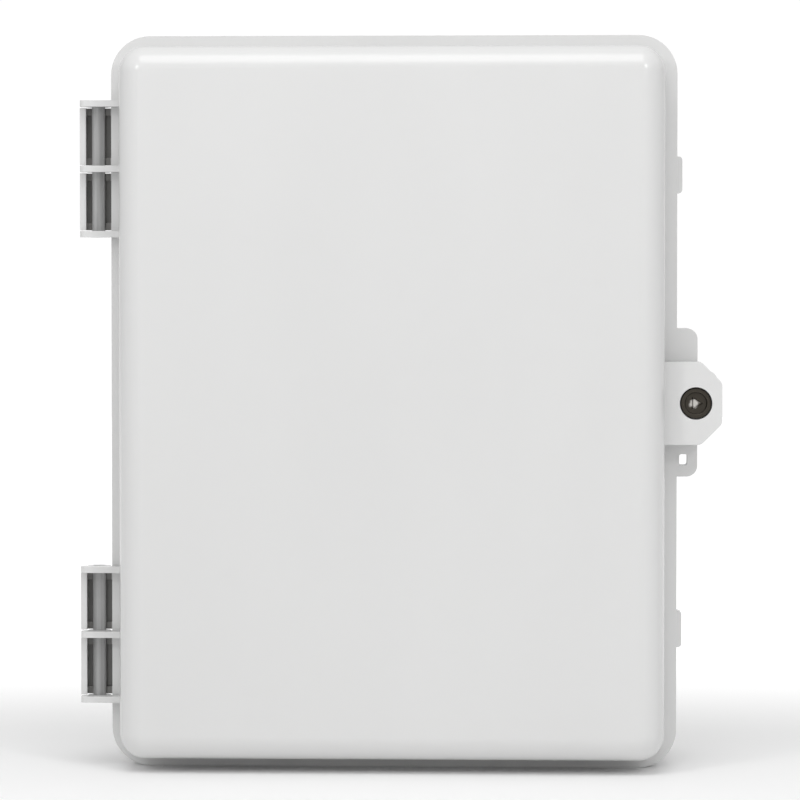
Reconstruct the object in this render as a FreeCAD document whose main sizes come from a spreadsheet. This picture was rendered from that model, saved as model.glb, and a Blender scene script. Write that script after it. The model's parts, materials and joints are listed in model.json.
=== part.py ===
import FreeCAD, Part
import math
import os
import re

import Sketcher

# A wall box that joins a feeder cable to drop cables. Millimetres. +X right, +Y towards the wall, +Z up.
# The origin is the middle of the box's footprint, at floor level.

document = FreeCAD.newDocument("fiber_termination_box")
sizes = document.addObject("Spreadsheet::Sheet", "sizes")
Vector = FreeCAD.Vector

SIZES = {
    # box
    "body_width": 232.0,
    "body_height": 300.0,
    "base_depth": 65.0,
    "cover_depth": 30.0,
    "corner_radius": 16.0,
    "wall": 3.0,
    "seam_gap": 0.3,
    # base rim, and the band at the back that stands as far out as the rim
    "rim_depth": 10.0,
    "rim_step": 1.5,
    "rim_land": 11.0,
    "heel_depth": 12.0,
    # seal between base and cover
    "groove_inset": 5.5,
    "groove_width": 4.0,
    "groove_depth": 5.0,
    "gasket_thickness": 3.0,
    "gasket_side_gap": 0.1,
    "tongue_side_gap": 0.9,
    # cover
    "cover_inset": 5.5,
    "cover_wall": 2.8,
    "cover_edge_radius": 10.0,
    "sill_depth": 3.0,
    # hinges
    "hinge_pin_radius": 2.7,
    "hinge_pin_offset": 5.3,
    "hinge_pin_setback": 1.0,
    "hinge_pin_gap": 0.15,
    "hinge_pin_fit": 0.05,
    "hinge_inset": 54.5,
    "arm_pitch": 26.7,
    "arm_thickness": 2.6,
    "arm_depth": 7.0,
    "arm_overhang": 7.0,
    "arm_root": 2.5,
    "arm_corner": 2.4,
    "arm_eye_radius": 4.7,
    "arm_side_gap": 0.4,
    "cradle_reach": 12.7,
    "cradle_bar": 2.5,
    "cradle_rise": 2.0,
    "cradle_floor": 2.0,
    "cradle_gap": 0.4,
    "cradle_web": 3.0,
    "cradle_seat": 0.8,
    # lock
    "lug_reach": 18.0,
    "lug_height": 33.7,
    "lug_depth": 13.0,
    "lug_chamfer": 8.5,
    "lug_corner": 3.0,
    "lock_offset": 7.4,
    "lock_recess_radius": 6.6,
    "lock_recess_depth": 5.6,
    "lock_web": 1.6,
    "clip_radius": 4.9,
    "clip_thickness": 0.8,
    "clip_pocket_radius": 5.3,
    "screw_head_radius": 6.2,
    "screw_head_sink": 1.6,
    "screw_drive_radius": 4.4,
    "screw_drive_depth": 1.8,
    "screw_post_radius": 2.6,
    "screw_shank_radius": 3.0,
    "screw_shank_gap": 0.3,
    "screw_reach": 3.5,
    "lock_ring_depth": 0.95,
    "insert_radius": 5.0,
    "insert_length": 10.0,
    "press_gap": 0.05,
    # base lug, seal eye and side tabs
    "lug_root": 0.5,
    "base_lug_reach": 8.4,
    "base_lug_height": 60.7,
    "base_lug_depth": 12.0,
    "base_lug_corner": 4.5,
    "insert_boss_reach": 16.6,
    "insert_boss_height": 26.0,
    "insert_boss_depth": 16.0,
    "seal_eye_width": 3.3,
    "seal_eye_height": 4.6,
    "seal_eye_corner": 1.0,
    "seal_eye_offset": 2.65,
    "seal_eye_drop": 23.5,
    "tab_reach": 2.1,
    "tab_height": 15.0,
    "tab_spread": 93.0,
    "tab_corner": 1.5,
    # cable entries
    "feeder_port_radius": 9.0,
    "feeder_bore_radius": 6.0,
    "feeder_spread": 88.0,
    "drop_port_radius": 5.0,
    "drop_pitch": 17.0,
    "grommet_lip": 1.5,
    "grommet_outer_lip": 1.2,
    "grommet_inner_lip": 3.0,
    # wall mounting
    "mount_hole_radius": 2.75,
    "mount_boss_radius": 7.0,
    "mount_boss_height": 3.0,
    "mount_inset_across": 26.0,
    "mount_inset_up": 25.0,
    # fittings on the back wall
    "foot_thickness": 3.0,
    "screw_radius": 1.5,
    "screw_head": 3.0,
    "screw_head_height": 2.0,
    "screw_bite": 2.4,
    "pilot_depth": 2.6,
    "tie_bar_width": 140.0,
    "tie_bar_height": 8.0,
    "tie_bar_level": 28.0,
    "tie_bar_standoff": 12.0,
    "tie_slot_width": 3.0,
    "tie_slot_floor": 2.0,
    "tie_foot_spread": 52.0,
    "tie_foot_length": 16.0,
    "tie_leg": 4.0,
    "tie_screw_offset": 11.0,
    "clamp_level": 46.0,
    "clamp_height": 16.0,
    "clamp_post": 12.0,
    "clamp_foot_rise": 10.0,
    "hook_depth": 14.0,
    "hook_lip": 8.0,
    "hook_height": 16.0,
    "hook_thickness": 2.0,
    "hook_spread_across": 62.0,
    "hook_spread_up": 60.0,
    # swinging panel
    "panel_setback": 22.0,
    "panel_inset": 14.0,
    "panel_low": 42.0,
    "panel_top_gap": 16.0,
    "panel_thickness": 2.0,
    "panel_pin_radius": 2.0,
    "panel_pin_gap": 0.1,
    "panel_knuckle_radius": 4.0,
    "panel_knuckle_height": 10.0,
    "panel_edge_gap": 6.0,
    "bracket_height": 6.0,
    "bracket_radius": 4.5,
    "bracket_inset": 80.0,
    "bracket_foot_length": 17.0,
    "bracket_screw_offset": 12.0,
    "grip_radius": 9.0,
    "catch_width": 8.0,
    "catch_height": 14.0,
    "catch_foot_drop": 12.0,
    "catch_screw_drop": 13.0,
    # splice tray
    "tray_shift": 8.0,
    "tray_width": 165.0,
    "tray_height": 112.0,
    "tray_depth": 9.0,
    "tray_wall": 1.5,
    "tray_corner": 12.0,
    "tray_top_gap": 9.0,
    "spool_radius": 22.0,
    "spool_wall": 1.5,
    "spool_spread": 50.0,
    "fibre_entry_spread": 60.0,
    "tray_screw_inset": 7.0,
    "tray_screw_radius": 1.25,
    "lid_thickness": 1.6,
    "comb_width": 40.0,
    "comb_pitch": 4.0,
    "comb_rib": 1.0,
    "comb_rib_height": 5.0,
    # splitter
    "splitter_length": 60.0,
    "splitter_height": 7.0,
    "splitter_depth": 4.0,
    "splitter_gap": 15.0,
    "splitter_clip_wall": 1.2,
    "splitter_clip_length": 8.0,
    "splitter_clip_spread": 20.0,
    # adapters and their shelf
    "shelf_drop": 44.0,
    "shelf_depth": 16.0,
    "shelf_thickness": 2.0,
    "shelf_foot_height": 12.0,
    "adapter_pitch": 18.0,
    "adapter_width": 12.8,
    "adapter_depth": 9.3,
    "adapter_length": 27.0,
    "adapter_flange": 1.0,
    "adapter_flange_height": 2.0,
    "adapter_wall": 1.4,
    "adapter_standoff": 9.0,
    "adapter_slot_gap": 0.2,
    "ferrule_radius": 1.25,
    "cap_length": 9.0,
    "cap_grip": 6.0,
    "cap_gap": 0.15,
}

ADAPTERS = 8
DROP_PORTS = 8
COMB_RIBS = 12

# Places that follow from the sizes. Each formula uses the names above it.
PLACES = {
    "body_x": "(cradle_reach - lug_reach) / 2",
    "body_left": "body_x - body_width / 2",
    "body_right": "body_x + body_width / 2",
    "body_z": "body_height / 2",
    "front": "0 - (cover_depth + base_depth) / 2",
    "parting": "front + cover_depth",
    "back": "parting + base_depth",
    "bay_back": "back - wall",
    "bay_floor": "rim_step + wall",
    "cover_back": "parting - seam_gap",
    "groove_inner_inset": "groove_inset + groove_width",
    "tongue_inset": "groove_inset + tongue_side_gap",
    "tongue_inner_inset": "groove_inner_inset - tongue_side_gap",
    "tongue_depth": "groove_depth - gasket_thickness",
    "hinge_x": "body_left - hinge_pin_offset",
    "hinge_y": "parting + hinge_pin_setback",
    "hinge_length": "2 * arm_pitch + arm_thickness",
    "lug_front": "parting - lug_depth",
    "lock_x": "body_right + lock_offset",
    "screw_front": "lug_front + screw_head_sink",
    "screw_seat": "lug_front + lock_recess_depth",
    "screw_head_back": "screw_seat - lock_ring_depth - press_gap",
    "clip_back": "cover_back - seam_gap",
    "port_y": "parting + rim_depth + (base_depth - rim_depth - wall) / 2",
    "mount_spacing_across": "body_width - 2 * mount_inset_across",
    "mount_spacing_up": "body_height - 2 * mount_inset_up",
    "panel_hinge_x": "body_left + panel_inset",
    "panel_y": "parting + panel_setback",
    "panel_front": "panel_y - panel_thickness / 2",
    "panel_left": "panel_hinge_x + panel_edge_gap",
    "panel_right": "body_right - panel_inset",
    "panel_high": "body_height - panel_top_gap",
    "tray_x": "body_x + tray_shift",
    "tray_front": "panel_front - tray_depth",
    "tray_level": "panel_high - tray_top_gap - tray_height / 2",
    "splitter_level": "tray_level - tray_height / 2 - splitter_gap",
    "shelf_level": "splitter_level - shelf_drop",
    "shelf_left": f"tray_x - {ADAPTERS} / 2 * adapter_pitch",
    "adapter_y": "panel_front - adapter_standoff",
    "catch_x": "panel_right - catch_width",
    "clip_reach": "splitter_depth + splitter_clip_wall",
}

PIECES = []


def fill_sheet():
    """Write each driving size into the sheet as a plain number with an alias."""
    for row, (alias, value) in enumerate(SIZES.items(), start=1):
        sizes.set(f"A{row}", alias)
        sizes.set(f"B{row}", str(value))
        sizes.setAlias(f"B{row}", alias)
    document.recompute()


def formula(text):
    """Spell a formula out in the sheet's own terms."""
    def spell(found):
        word = found.group()
        if word in PLACES:
            return "(" + formula(PLACES[word]) + ")"
        if word in SIZES:
            return "sizes." + word
        return word
    return re.sub(r"[a-z][a-z_]*[a-z]", spell, str(text))


def number(text):
    """The present value of a formula."""
    value = sizes.evalExpression(formula(text))
    return float(getattr(value, "Value", value))


def bind(thing, prop, text):
    thing.setExpression(prop, formula(text))


def keep(thing, label):
    """Enter a finished piece under its own name."""
    thing.Label = label
    PIECES.append(thing)
    return thing


# ---- sketches and solid features ----

def new_body(label):
    return keep(document.addObject("PartDesign::Body", label), label)


def new_sketch(body, name, plane, level, centre):
    """A sketch parallel to one of the body's own planes, centred on a point of it."""
    sketch = body.newObject("Sketcher::SketchObject", name)
    planes = {feature.Role: feature for feature in body.Origin.OriginFeatures}
    sketch.AttachmentSupport = [(planes[plane], "")]
    sketch.MapMode = "FlatFace"
    bind(sketch, "AttachmentOffset.Base.x", centre[0])
    bind(sketch, "AttachmentOffset.Base.y", centre[1])
    bind(sketch, "AttachmentOffset.Base.z", f"0 - ({level})" if plane == "XZ_Plane" else level)
    return sketch


def constrain(sketch, prop, *where):
    """Add a dimension that takes its value from a formula."""
    *places, text = where
    index = sketch.addConstraint(Sketcher.Constraint(prop, *places, number(text)))
    bind(sketch, f"Constraints[{index}]", text)


def draw_rectangle(sketch, width, height, radius=None):
    """A rectangle about the sketch's centre, with round corners if a radius is given."""
    first = sketch.GeometryCount
    across = number(width) / 2
    up = number(height) / 2
    corners = [(across, up), (-across, up), (-across, -up), (across, -up)]
    if radius is None:
        lines = [first, first + 1, first + 2, first + 3]
        for start, end in zip(corners, corners[1:] + corners[:1]):
            sketch.addGeometry(Part.LineSegment(Vector(*start, 0), Vector(*end, 0)))
        for step in range(4):
            sketch.addConstraint(Sketcher.Constraint("Coincident", lines[step], 2, lines[(step + 1) % 4], 1))
        opposite = (lines[0], 1, lines[2], 1)
    else:
        round_radius = number(radius)
        arcs = [first, first + 1, first + 2, first + 3]
        lines = [first + 4, first + 5, first + 6, first + 7]
        ends = []
        for step, (x, y) in enumerate(corners):
            middle = Vector(math.copysign(abs(x) - round_radius, x),
                            math.copysign(abs(y) - round_radius, y), 0)
            begin = math.radians(90 * step)
            circle = Part.Circle(middle, Vector(0, 0, 1), round_radius)
            arc = Part.ArcOfCircle(circle, begin, begin + math.pi / 2)
            sketch.addGeometry(arc)
            ends.append((arc.StartPoint, arc.EndPoint))
        for step in range(4):
            sketch.addGeometry(Part.LineSegment(ends[step][1], ends[(step + 1) % 4][0]))
        for step in range(4):
            sketch.addConstraint(Sketcher.Constraint("Tangent", arcs[step], 2, lines[step], 1))
            sketch.addConstraint(Sketcher.Constraint("Tangent", lines[step], 2, arcs[(step + 1) % 4], 1))
        for step in (1, 2, 3):
            sketch.addConstraint(Sketcher.Constraint("Equal", arcs[0], arcs[step]))
        constrain(sketch, "Radius", arcs[0], radius)
        opposite = (arcs[0], 3, arcs[2], 3)
    sketch.addConstraint(Sketcher.Constraint("Horizontal", lines[0]))
    sketch.addConstraint(Sketcher.Constraint("Horizontal", lines[2]))
    sketch.addConstraint(Sketcher.Constraint("Vertical", lines[1]))
    sketch.addConstraint(Sketcher.Constraint("Vertical", lines[3]))
    sketch.addConstraint(Sketcher.Constraint("Symmetric", *opposite, -1, 1))
    constrain(sketch, "DistanceX", lines[1], 1, lines[3], 1, width)
    constrain(sketch, "DistanceY", lines[2], 1, lines[0], 1, height)


def draw_circle(sketch, radius):
    index = sketch.addGeometry(Part.Circle(Vector(0, 0, 0), Vector(0, 0, 1), number(radius)))
    sketch.addConstraint(Sketcher.Constraint("Coincident", index, 3, -1, 1))
    constrain(sketch, "Radius", index, radius)


def extrude(body, kind, sketch, depth, towards_plus=True):
    """Pad or pocket a sketch along its axis, towards the axis's plus or minus end."""
    feature = body.newObject("PartDesign::" + kind, f"{sketch.Name}_{kind.lower()}")
    feature.Profile = sketch
    bind(feature, "Length", depth)
    plane = sketch.AttachmentSupport[0][0].Role
    along_normal = towards_plus != (plane == "XZ_Plane")
    feature.Reversed = along_normal if kind == "Pocket" else not along_normal
    sketch.Visibility = False
    return feature


def block(body, kind, name, plane, level, depth, centre, size, radius=None, towards_plus=True):
    """Add (Pad) or cut (Pocket) a block with a rectangular outline."""
    sketch = new_sketch(body, name, plane, level, centre)
    draw_rectangle(sketch, size[0], size[1], radius)
    return extrude(body, kind, sketch, depth, towards_plus)


def disc(body, kind, name, plane, level, depth, centre, radius):
    """Add (Pad) or cut (Pocket) a round block."""
    sketch = new_sketch(body, name, plane, level, centre)
    draw_circle(sketch, radius)
    return extrude(body, kind, sketch, depth)


def ring(body, kind, name, level, depth, outer_inset, inner_inset):
    """Add or cut a band that follows the box's outline between two insets."""
    sketch = new_sketch(body, name, "XZ_Plane", level, ("body_x", "body_z"))
    for inset in (outer_inset, inner_inset):
        draw_rectangle(sketch, *outline_at(inset))
    return extrude(body, kind, sketch, depth)


def outline_at(inset):
    """Width, height and corner radius of the box's outline moved inwards by an inset."""
    return (f"body_width - 2 * ({inset})", f"body_height - 2 * ({inset})", f"corner_radius - ({inset})")


def dress(body, kind, prop, value, chosen):
    """Fillet or chamfer those edges of the body's latest feature that a test picks."""
    document.recompute()
    base = body.Tip
    names = [f"Edge{place}" for place, edge in enumerate(base.Shape.Edges, start=1) if chosen(edge)]
    feature = body.newObject("PartDesign::" + kind, f"{base.Name}_{kind.lower()}")
    feature.Base = (base, names)
    bind(feature, prop, value)
    return feature


def hollow_out(body, thickness, chosen):
    """Turn the body into a shell of even thickness, open at the faces that a test picks."""
    document.recompute()
    base = body.Tip
    names = [f"Face{place}" for place, face in enumerate(base.Shape.Faces, start=1) if chosen(face)]
    feature = body.newObject("PartDesign::Thickness", f"{base.Name}_shell")
    feature.Base = (base, names)
    feature.Reversed = True
    bind(feature, "Value", thickness)
    return feature


def lies_at(shape, axis, value, tolerance=0.01):
    """True if an edge or face lies wholly at one height along an axis."""
    box = shape.BoundBox
    low = getattr(box, axis + "Min")
    high = getattr(box, axis + "Max")
    return abs(low - value) < tolerance and abs(high - value) < tolerance


def runs_along(edge, direction):
    """True if an edge is straight and parallel to a direction."""
    if not isinstance(edge.Curve, (Part.Line, Part.LineSegment)):
        return False
    return abs(abs(edge.tangentAt(edge.FirstParameter).dot(direction)) - 1) < 1e-6


# ---- primitives ----

TURNS = {
    "X": FreeCAD.Rotation(Vector(0, 1, 0), 90),
    "Y": FreeCAD.Rotation(Vector(1, 0, 0), -90),
    "Z": FreeCAD.Rotation(),
}


def set_down(thing, corner):
    for axis, text in zip("xyz", corner):
        bind(thing, f"Placement.Base.{axis}", text)
    return thing


def bar(name, low, size):
    """A box from its low corner and its three sizes."""
    thing = document.addObject("Part::Box", name)
    for prop, text in zip(("Length", "Width", "Height"), size):
        bind(thing, prop, text)
    return set_down(thing, low)


def rod(name, axis, start, radius, length):
    """A cylinder from the centre of its low end, along an axis."""
    thing = document.addObject("Part::Cylinder", name)
    thing.Placement = FreeCAD.Placement(Vector(0, 0, 0), TURNS[axis])
    bind(thing, "Radius", radius)
    bind(thing, "Height", length)
    return set_down(thing, start)


def fuse(name, pieces):
    thing = document.addObject("Part::MultiFuse", name)
    thing.Shapes = pieces
    return thing


def cut(name, base, tools):
    thing = document.addObject("Part::Cut", name)
    thing.Base = base
    thing.Tool = tools[0] if len(tools) == 1 else group(name + "_tools", tools)
    return thing


def group(name, pieces):
    thing = document.addObject("Part::Compound", name)
    thing.Links = pieces
    return thing


# ---- places that repeat ----

HINGES = {"lower": "hinge_inset", "upper": "body_height - hinge_inset"}
BRACKETS = {"lower": "bracket_inset", "upper": "body_height - bracket_inset"}
SIDES = {"left": "body_x - feeder_spread", "right": "body_x + feeder_spread"}
DROPS = [f"body_x + ({place - (DROP_PORTS - 1) / 2}) * drop_pitch" for place in range(DROP_PORTS)]
ADAPTER_XS = [f"tray_x + ({place - (ADAPTERS - 1) / 2}) * adapter_pitch" for place in range(ADAPTERS)]
FOUR_WAYS = [("-", "-"), ("+", "-"), ("-", "+"), ("+", "+")]
WALL_SCREWS = {
    "bracket_lower": ("panel_hinge_x + bracket_screw_offset", f"{BRACKETS['lower']} + bracket_height / 2"),
    "bracket_upper": ("panel_hinge_x + bracket_screw_offset", f"{BRACKETS['upper']} + bracket_height / 2"),
    "tie_left": ("body_x - tie_foot_spread - tie_screw_offset", "tie_bar_level + tie_bar_height / 2"),
    "tie_right": ("body_x + tie_foot_spread + tie_screw_offset", "tie_bar_level + tie_bar_height / 2"),
    "clamp_left": (SIDES["left"], "clamp_level + clamp_height + clamp_foot_rise / 2"),
    "clamp_right": (SIDES["right"], "clamp_level + clamp_height + clamp_foot_rise / 2"),
    "catch": ("catch_x + catch_width / 2", "body_z - catch_screw_drop"),
}


# ---- base ----

def make_base_shell():
    """The tub: walls, rim, heel band, bay, mouth, seal groove, and what is moulded on the outside."""
    shell = new_body("base_shell")
    centre = ("body_x", "body_z")
    full = outline_at(0)
    wall_outline = outline_at("rim_step")
    block(shell, "Pad", "walls", "XZ_Plane", "parting", "base_depth", centre, wall_outline[:2],
          wall_outline[2])
    block(shell, "Pad", "rim", "XZ_Plane", "parting", "rim_depth", centre, full[:2], full[2])
    block(shell, "Pad", "heel", "XZ_Plane", "back - heel_depth", "heel_depth", centre, full[:2], full[2])
    add_lock_lug(shell)
    bay = outline_at("rim_step + wall")
    bay_depth = "base_depth - rim_depth - wall"
    block(shell, "Pocket", "bay", "XZ_Plane", "parting + rim_depth", bay_depth, centre, bay[:2], bay[2])
    mouth = outline_at("rim_land")
    block(shell, "Pocket", "mouth", "XZ_Plane", "parting", "rim_depth", centre, mouth[:2], mouth[2])
    ring(shell, "Pocket", "seal_groove", "parting", "groove_depth", "groove_inset", "groove_inner_inset")
    add_hinge_cradles(shell)
    add_wall_holes(shell)
    add_cable_ports(shell)


def add_lock_lug(shell):
    """The lug on the right of the rim, its insert boss and seal eye, and the two side tabs."""
    def on_right_side(name, reach, height, depth, corner, level="parting", up="body_z"):
        width = f"{reach} + {corner} + lug_root"
        across = f"body_right + {reach} - ({width}) / 2"
        block(shell, "Pad", name, "XZ_Plane", level, depth, (across, up), (width, height), corner)
    on_right_side("lug", "base_lug_reach", "base_lug_height", "base_lug_depth", "base_lug_corner")
    on_right_side("insert_boss", "insert_boss_reach", "insert_boss_height", "insert_boss_depth",
                  "base_lug_corner")
    for name, sign in (("low_tab", "-"), ("high_tab", "+")):
        on_right_side(name, "tab_reach", "tab_height", "rim_depth - 2 * tab_corner", "tab_corner",
                      "parting + tab_corner", f"body_z {sign} tab_spread")
    disc(shell, "Pocket", "insert_hole", "XZ_Plane", "parting", "insert_length", ("lock_x", "body_z"),
         "insert_radius + press_gap")
    eye = ("body_right + seal_eye_offset", "body_z - seal_eye_drop")
    block(shell, "Pocket", "seal_eye", "XZ_Plane", "parting", "base_lug_depth", eye,
          ("seal_eye_width", "seal_eye_height"), "seal_eye_corner")


def add_hinge_cradles(shell):
    """Between the arms of each hinge: a deep trough open to the front, its end webs cut as pin seats."""
    length = "arm_pitch - arm_thickness - 2 * arm_side_gap"
    well_depth = "cradle_rise + hinge_pin_setback + hinge_pin_radius + cradle_gap"
    depth = f"{well_depth} + cradle_floor"
    slot_depth = "cradle_rise + hinge_pin_setback + cradle_seat"
    slot_width = "cradle_reach - cradle_bar"
    for name, hinge_z in HINGES.items():
        for side in (-1, 1):
            low = f"{hinge_z} + ({side}) * arm_pitch / 2 - ({length}) / 2"
            label = f"{name}_cradle_{'top' if side > 0 else 'bottom'}"
            block(shell, "Pad", label, "XY_Plane", low, length,
                  ("body_left - cradle_reach / 2", f"parting - cradle_rise + ({depth}) / 2"),
                  ("cradle_reach", depth))
            block(shell, "Pocket", label + "_slot", "XY_Plane", low, length,
                  (f"body_left - ({slot_width}) / 2", f"parting - cradle_rise + ({slot_depth}) / 2"),
                  (slot_width, slot_depth))
            block(shell, "Pocket", label + "_well", "XY_Plane", f"{low} + cradle_web",
                  f"{length} - 2 * cradle_web",
                  (f"body_left - ({slot_width}) / 2", f"parting - cradle_rise + ({well_depth}) / 2"),
                  (slot_width, well_depth))
            disc(shell, "Pocket", label + "_seat", "XY_Plane", low, length, ("hinge_x", "hinge_y"),
                 "hinge_pin_radius + hinge_pin_gap")


def add_wall_holes(shell):
    """Four bosses with holes for wall screws, and pilot holes for the fittings inside."""
    for place, (left, down) in enumerate(FOUR_WAYS, start=1):
        centre = (f"body_x {left} mount_spacing_across / 2", f"body_z {down} mount_spacing_up / 2")
        disc(shell, "Pad", f"mount_boss_{place}", "XZ_Plane", "bay_back - mount_boss_height",
             "mount_boss_height", centre, "mount_boss_radius")
        disc(shell, "Pocket", f"mount_hole_{place}", "XZ_Plane", "bay_back - mount_boss_height",
             "mount_boss_height + wall", centre, "mount_hole_radius")
    for name, centre in WALL_SCREWS.items():
        disc(shell, "Pocket", f"pilot_{name}", "XZ_Plane", "bay_back", "pilot_depth", centre,
             "screw_radius + press_gap")


def add_cable_ports(shell):
    """Round ports through the bottom wall."""
    for name, x in SIDES.items():
        disc(shell, "Pocket", f"feeder_port_{name}", "XY_Plane", "rim_step", "wall", (x, "port_y"),
             "feeder_port_radius")
    for place, x in enumerate(DROPS, start=1):
        disc(shell, "Pocket", f"drop_port_{place}", "XY_Plane", "rim_step", "wall", (x, "port_y"),
             "drop_port_radius")


def make_cover_gasket():
    gasket = new_body("cover_gasket")
    ring(gasket, "Pad", "gasket_band", "parting + groove_depth - gasket_thickness", "gasket_thickness",
         "groove_inset + gasket_side_gap", "groove_inner_inset - gasket_side_gap")


def make_grommets():
    """Open rubber grommets for the two feeder cables."""
    for name, x in SIDES.items():
        outer = rod(f"grommet_{name}_outer", "Z", (x, "port_y", "rim_step - grommet_outer_lip"),
                    "feeder_port_radius + grommet_lip", "grommet_outer_lip")
        neck = rod(f"grommet_{name}_neck", "Z", (x, "port_y", "rim_step"), "feeder_port_radius", "wall")
        inner = rod(f"grommet_{name}_inner", "Z", (x, "port_y", "bay_floor"),
                    "feeder_port_radius + grommet_lip", "grommet_inner_lip")
        body = fuse(f"grommet_{name}_body", [outer, neck, inner])
        bore = rod(f"grommet_{name}_bore", "Z", (x, "port_y", "0"), "feeder_bore_radius",
                   "4 * grommet_inner_lip")
        keep(cut(f"grommet_{name}", body, [bore]), f"feeder_grommet_{name}")


def make_drop_plugs():
    """Closed rubber plugs in the drop cable ports, one per port."""
    plugs = []
    for place, x in enumerate(DROPS, start=1):
        outer = rod(f"plug_{place}_outer", "Z", (x, "port_y", "rim_step - grommet_outer_lip"),
                    "drop_port_radius + grommet_lip", "grommet_outer_lip")
        neck = rod(f"plug_{place}_neck", "Z", (x, "port_y", "rim_step"), "drop_port_radius", "wall")
        inner = rod(f"plug_{place}_inner", "Z", (x, "port_y", "bay_floor"),
                    "drop_port_radius + grommet_lip", "grommet_inner_lip / 2")
        plugs.append(fuse(f"plug_{place}", [outer, neck, inner]))
    keep(group("plugs", plugs), "drop_port_plugs")


def make_lock_insert():
    outer = rod("insert_outer", "Y", ("lock_x", "parting", "body_z"), "insert_radius", "insert_length")
    bore = rod("insert_bore", "Y", ("lock_x", "parting - 1", "body_z"),
               "screw_shank_radius + screw_shank_gap", "insert_length + 2")
    keep(cut("insert", outer, [bore]), "lock_insert")


def screw_hole(name, centre):
    """The hole for a wall screw through a foot."""
    return rod(name, "Y", (centre[0], "bay_back - foot_thickness - 1", centre[1]),
               "screw_radius + press_gap", "foot_thickness + 2")


def make_wall_screws():
    """The seven screws that hold the inner fittings to the back wall."""
    screws = []
    for name, (x, z) in WALL_SCREWS.items():
        head = rod(f"wall_screw_{name}_head", "Y", (x, "bay_back - foot_thickness - screw_head_height", z),
                   "screw_head", "screw_head_height")
        shank = rod(f"wall_screw_{name}_shank", "Y", (x, "bay_back - foot_thickness", z), "screw_radius",
                    "foot_thickness + screw_bite")
        screws.append(fuse(f"wall_screw_{name}", [head, shank]))
    keep(group("wall_screws", screws), "wall_screws")


def make_tie_bar():
    """A slotted bar above the ports, for cable ties, on two feet."""
    bar_y = "bay_back - tie_bar_standoff"
    rail = bar("tie_rail", ("body_x - tie_bar_width / 2", bar_y, "tie_bar_level"),
               ("tie_bar_width", "foot_thickness", "tie_bar_height"))
    slots = []
    for place, x in enumerate(DROPS, start=1):
        corner = (f"{x} - tie_slot_width / 2", f"{bar_y} - 1", "tie_bar_level + tie_slot_floor")
        slots.append(bar(f"tie_slot_{place}", corner,
                         ("tie_slot_width", "foot_thickness + 2", "tie_bar_height")))
    parts = [cut("slotted_rail", rail, slots)]
    holes = []
    for name, sign, low in (("left", "-", "tie_foot_length"), ("right", "+", "0")):
        parts.append(bar(f"tie_leg_{name}",
                         (f"body_x {sign} tie_foot_spread - tie_leg / 2", bar_y, "tie_bar_level"),
                         ("tie_leg", "tie_bar_standoff", "tie_bar_height")))
        parts.append(bar(f"tie_foot_{name}", (f"body_x {sign} tie_foot_spread - {low}",
                                              "bay_back - foot_thickness", "tie_bar_level"),
                         ("tie_foot_length", "foot_thickness", "tie_bar_height")))
        holes.append(screw_hole(f"tie_hole_{name}", WALL_SCREWS[f"tie_{name}"]))
    keep(cut("tie_bar", fuse("tie_bar_solid", parts), holes), "cable_tie_bar")


def make_strength_clamps():
    """A post with a cross hole for the feeder's strength member, and its clamping screw."""
    for name, x in SIDES.items():
        foot = bar(f"clamp_foot_{name}",
                   (f"{x} - clamp_post / 2", "bay_back - foot_thickness", "clamp_level"),
                   ("clamp_post", "foot_thickness", "clamp_height + clamp_foot_rise"))
        post = bar(f"clamp_post_{name}", (f"{x} - clamp_post / 2", "bay_back - clamp_post - foot_thickness",
                                          "clamp_level"), ("clamp_post", "clamp_post + foot_thickness",
                                                           "clamp_height / 2"))
        passage = rod(f"clamp_passage_{name}", "Z", (x, "bay_back - clamp_post / 2 - foot_thickness",
                                                     "clamp_level - 1"), "clamp_post / 6", "clamp_height")
        threaded = rod(f"clamp_thread_{name}", "Y", (x, "bay_back - clamp_post - foot_thickness - 1",
                                                     "clamp_level + clamp_height / 4"),
                       "screw_radius + press_gap", "clamp_post / 3 + 1")
        solid = fuse(f"clamp_solid_{name}", [foot, post])
        holes = [passage, threaded, screw_hole(f"clamp_hole_{name}", WALL_SCREWS[f"clamp_{name}"])]
        keep(cut(f"clamp_{name}", solid, holes), f"strength_clamp_{name}")
    screws = []
    for name, x in SIDES.items():
        post_front = "bay_back - clamp_post - foot_thickness"
        middle = "clamp_level + clamp_height / 4"
        head = rod(f"clamp_screw_head_{name}", "Y", (x, f"{post_front} - screw_head_height", middle),
                   "screw_head", "screw_head_height")
        shank = rod(f"clamp_screw_shank_{name}", "Y", (x, post_front, middle), "screw_radius",
                    "clamp_post / 3")
        screws.append(fuse(f"clamp_screw_{name}", [head, shank]))
    keep(group("clamp_screw_pair", screws), "clamp_screws")


def make_fibre_hooks():
    """Four hooks on the back wall that hold spare fibre in a loop; each lip points away from the middle."""
    hooks = []
    for place, (left, down) in enumerate(FOUR_WAYS, start=1):
        x = f"body_x {left} hook_spread_across"
        z = f"body_z {down} hook_spread_up - hook_height / 2"
        stem = bar(f"hook_stem_{place}", (f"{x} - hook_thickness / 2", "bay_back - hook_depth", z),
                   ("hook_thickness", "hook_depth", "hook_height"))
        lip_start = f"{x} - hook_thickness / 2"
        if left == "-":
            lip_start = f"{x} + hook_thickness / 2 - hook_lip"
        lip = bar(f"hook_lip_{place}", (lip_start, "bay_back - hook_depth", z),
                  ("hook_lip", "hook_thickness", "hook_height"))
        hooks.append(fuse(f"hook_{place}", [stem, lip]))
    keep(group("hooks", hooks), "fibre_hooks")


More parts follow.
